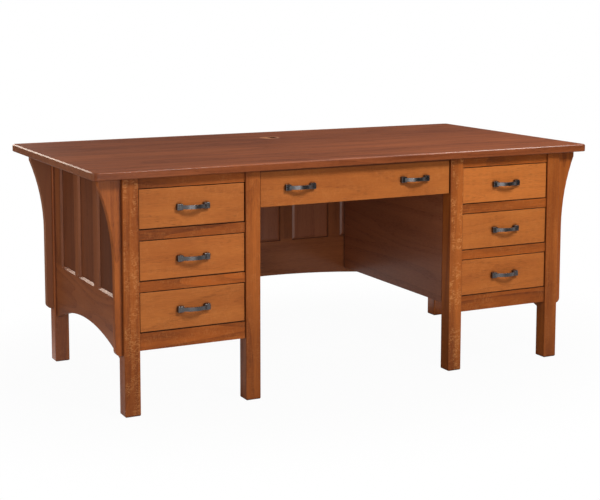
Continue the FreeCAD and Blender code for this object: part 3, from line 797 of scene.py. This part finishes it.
class DESK_OT_pulls(bpy.types.Operator):
    """Finishes the bow pulls in dark metal with rubbed edges."""

    bl_idname = "desk.finish_pulls"
    bl_label = "Pulls"

    def execute(self, context):
        stain = settings().stain
        material, recipe = new_finish("pull_metal")
        where = recipe.place()
        dents = recipe.noise(where, PULL_DENTS, detail=1.5)
        dust = recipe.noise(where, PULL_DUST)
        eased = recipe.eased(settings().grain.pull_softness)
        worn = recipe.edges(eased) * lifted(PULL_LEAST_WEAR, dents)
        base = recipe.mix(worn, stain.pull_metal, stain.pull_worn)
        gloss = PULL_ROUGHNESS + PULL_DUST_GLOSS * (dust - NOISE_MIDDLE)
        gloss = gloss + PULL_DENT_GLOSS * dents
        height = dents + PULL_DUST_HEIGHT * dust
        recipe.surface({
            "Base Color": base, "Metallic": 1.0, "Roughness": gloss,
            "Normal": recipe.bump(height, PULL_RELIEF, METAL_BUMP, eased),
        })
        finish(material, *[drawer + "_pull" for drawer in PEDESTAL_DRAWERS],
               "center_drawer_pulls")
        return {"FINISHED"}


class DESK_OT_slides(bpy.types.Operator):
    """Finishes the drawer slides and the screws in plated steel."""

    bl_idname = "desk.finish_slides"
    bl_label = "Slides"

    def execute(self, context):
        steel = settings().stain.steel
        dull = toned(STEEL_DULLNESS, steel)[0]
        material, recipe = new_finish("slide_steel")
        where = recipe.place()
        roll = recipe.noise(where, STEEL_ROLLING)
        spangle = recipe.noise(where, STEEL_SPANGLE)
        shade = 0.5 + STEEL_CONTRAST * (roll - NOISE_MIDDLE)
        shade = shade + STEEL_CONTRAST * (spangle - NOISE_MIDDLE)
        eased = recipe.eased(settings().grain.slide_softness)
        recipe.surface({
            "Base Color": recipe.mix(recipe.clamp(shade), dull, steel), "Metallic": 1.0,
            "Roughness": STEEL_ROUGHNESS + STEEL_SPANGLE_GLOSS * (spangle - NOISE_MIDDLE),
            "Normal": recipe.bump(roll, STEEL_RELIEF, METAL_BUMP, eased),
        })
        finish(material, *STEEL_FITTINGS, *[drawer + "_runners" for drawer in DRAWERS])
        return {"FINISHED"}


class DESK_OT_stage(bpy.types.Operator):
    """Sets the floor, the white surroundings, the lights and the camera."""

    bl_idname = "desk.set_stage"
    bl_label = "Stage"

    def looks(self, recipe, dark):
        """Whether the camera, a gloss or a glass looks, and whether a gloss looks at the dark."""
        camera, gloss, glass = [
            recipe.node("ShaderNodeLightPath", {}, {}, name)
            for name in ("Is Camera Ray", "Is Glossy Ray", "Is Transmission Ray")
        ]
        most = recipe.math("MAXIMUM", recipe.math("MAXIMUM", camera, gloss), glass)
        return most, gloss * dark

    def shown(self, recipe, kind, plain, seen, dark, dark_room):
        """Plain where only light falls, white where it is seen, dim where a gloss sees the dark."""
        white, dim = [recipe.node(kind, {}, {"Color": WHITE, "Strength": strength})
                      for strength in (1.0, dark_room)]
        return recipe.mix_shaders(seen, plain, recipe.mix_shaders(dark, white, dim))

    def floor(self, studio):
        """A white floor that keeps a faint shadow, dark to a gloss in three places."""
        mesh = bpy.data.meshes.new("floor")
        corners = [(x * FLOOR_REACH, y * FLOOR_REACH, 0)
                   for x, y in ((-1, -1), (1, -1), (1, 1), (-1, 1))]
        mesh.from_pydata(corners, [], [(0, 1, 2, 3)])
        floor = bpy.data.objects.new("floor", mesh)
        floor.location.z = -FLOOR_DROP
        bpy.context.scene.collection.objects.link(floor)
        material, recipe = new_finish("pale_floor")
        where = recipe.place()
        x, y = [recipe.part(where, axis) for axis in "XY"]
        far = recipe.vector("LENGTH", recipe.vector("MULTIPLY", where, SHADOW_SHAPE),
                            output="Value")
        front_right = recipe.step(x, *DARK_TO_RIGHT) * recipe.step(0 - y, *DARK_IN_FRONT)
        behind_left = recipe.step(y, *DARK_BEHIND) * recipe.step(0 - x, *DARK_TO_LEFT)
        # painted shade: the floor under the desk is dark to a gloss
        under = 1 - recipe.step(recipe.away(x, UNDER_MIDDLE), *UNDER_HALF_WIDTH)
        under = under * (1 - recipe.step(y * y, *UNDER_DEPTH_SQUARED))
        seen, dark = self.looks(recipe, recipe.clamp(front_right + behind_left + under))
        seen = seen * lifted(studio.floor_white, recipe.step(far, *SHADOW_REACH))
        matt = recipe.node("ShaderNodeBsdfDiffuse", {}, {"Color": FLOOR_GREY})
        shown = self.shown(recipe, "ShaderNodeEmission", matt, seen, dark, studio.dark_room)
        recipe.node("ShaderNodeOutputMaterial", {}, {"Surface": shown})
        mesh.materials.append(material)

    def surroundings(self, studio):
        """An even light from all round, white to the eye, dark to a gloss low on two sides."""
        world = bpy.data.worlds.new("white_studio")
        bpy.context.scene.world = world
        world.use_nodes = True
        recipe = Recipe(world.node_tree)
        way = recipe.node("ShaderNodeTexCoord", {}, {}, "Generated")
        x, y, z = [recipe.part(way, axis) for axis in "XYZ"]
        aside = recipe.step(y, *DARK_WAY_BEHIND) + recipe.step(x, *DARK_WAY_RIGHT)
        low = 1 - recipe.step(z, *DARK_WAY_UP_TO)
        seen, dark = self.looks(recipe, recipe.clamp(aside) * low)
        soft = recipe.node("ShaderNodeBackground", {},
                           {"Color": FILL_TINT, "Strength": studio.fill})
        shown = self.shown(recipe, "ShaderNodeBackground", soft, seen, dark, studio.dark_room)
        recipe.node("ShaderNodeOutputWorld", {}, {"Surface": shown})

    def light(self, name, place, power, aim, width, height, tint):
        """A rectangle of light that the camera does not see."""
        lamp = bpy.data.lights.new(name, "AREA")
        lamp.shape = "RECTANGLE"
        lamp.energy = power
        lamp.size = width
        lamp.size_y = height
        lamp.color = tint
        made = bpy.data.objects.new(name, lamp)
        made.location = place
        made.rotation_mode = "QUATERNION"
        made.rotation_quaternion = (Vector(aim) - Vector(place)).to_track_quat("-Z", "Y")
        made.visible_camera = False
        bpy.context.scene.collection.objects.link(made)

    def camera(self, studio):
        """The camera, at the photograph's viewing angle."""
        data = bpy.data.cameras.new("photo_camera")
        data.lens = studio.lens
        data.sensor_width = SENSOR_WIDTH
        data.shift_y = studio.lens_shift
        data.clip_end = VIEW_REACH
        camera = bpy.data.objects.new("photo_camera", data)
        round_desk, rise = studio.camera_azimuth, studio.camera_elevation
        back = Vector((math.sin(round_desk) * math.cos(rise),
                       -math.cos(round_desk) * math.cos(rise), math.sin(rise)))
        camera.location = studio.camera_place
        camera.rotation_mode = "QUATERNION"
        level = (-back).to_track_quat("-Z", "Y")
        camera.rotation_quaternion = level @ Quaternion((0, 0, 1), studio.camera_roll)
        bpy.context.scene.collection.objects.link(camera)
        bpy.context.scene.camera = camera

    def execute(self, context):
        studio = settings().studio
        self.floor(studio)
        self.surroundings(studio)
        for name, form in LIGHTS.items():
            self.light(name + "_light", getattr(studio, name + "_place"),
                       getattr(studio, name + "_power"), *form)
        self.camera(studio)
        context.scene.view_settings.view_transform = "Standard"
        return {"FINISHED"}


OPERATORS = (DESK_OT_top, DESK_OT_grommet, DESK_OT_legs, DESK_OT_corbels, DESK_OT_side_frames,
             DESK_OT_back_frame, DESK_OT_inner_sides, DESK_OT_front_rails,
             DESK_OT_drawer_fronts, DESK_OT_drawer_boxes, DESK_OT_pulls, DESK_OT_slides,
             DESK_OT_stage)


class DESK_PT_panel(bpy.types.Panel):
    """Lists the steps that finish the desk."""

    bl_idname = "DESK_PT_panel"
    bl_label = "Pedestal desk"
    bl_space_type = "VIEW_3D"
    bl_region_type = "UI"
    bl_category = "Desk"

    def draw(self, context):
        for operator in OPERATORS:
            self.layout.operator(operator.bl_idname)


CLASSES = (DeskStain, DeskGrain, DeskStudio, Desk, *OPERATORS, DESK_PT_panel)


def register():
    for item in CLASSES:
        bpy.utils.register_class(item)
    bpy.types.Scene.desk = PointerProperty(type=Desk, name="Desk",
                                           description="Settings of the pedestal desk")


def unregister():
    del bpy.types.Scene.desk
    for item in reversed(CLASSES):
        bpy.utils.unregister_class(item)


def main():
    register()
    bpy.ops.desk.finish_top()
    bpy.ops.desk.finish_grommet()
    bpy.ops.desk.finish_legs()
    bpy.ops.desk.finish_corbels()
    bpy.ops.desk.finish_side_frames()
    bpy.ops.desk.finish_back_frame()
    bpy.ops.desk.finish_inner_sides()
    bpy.ops.desk.finish_front_rails()
    bpy.ops.desk.finish_drawer_fronts()
    bpy.ops.desk.finish_drawer_boxes()
    bpy.ops.desk.finish_pulls()
    bpy.ops.desk.finish_slides()
    bpy.ops.desk.set_stage()


if __name__ == "__main__":
    main()
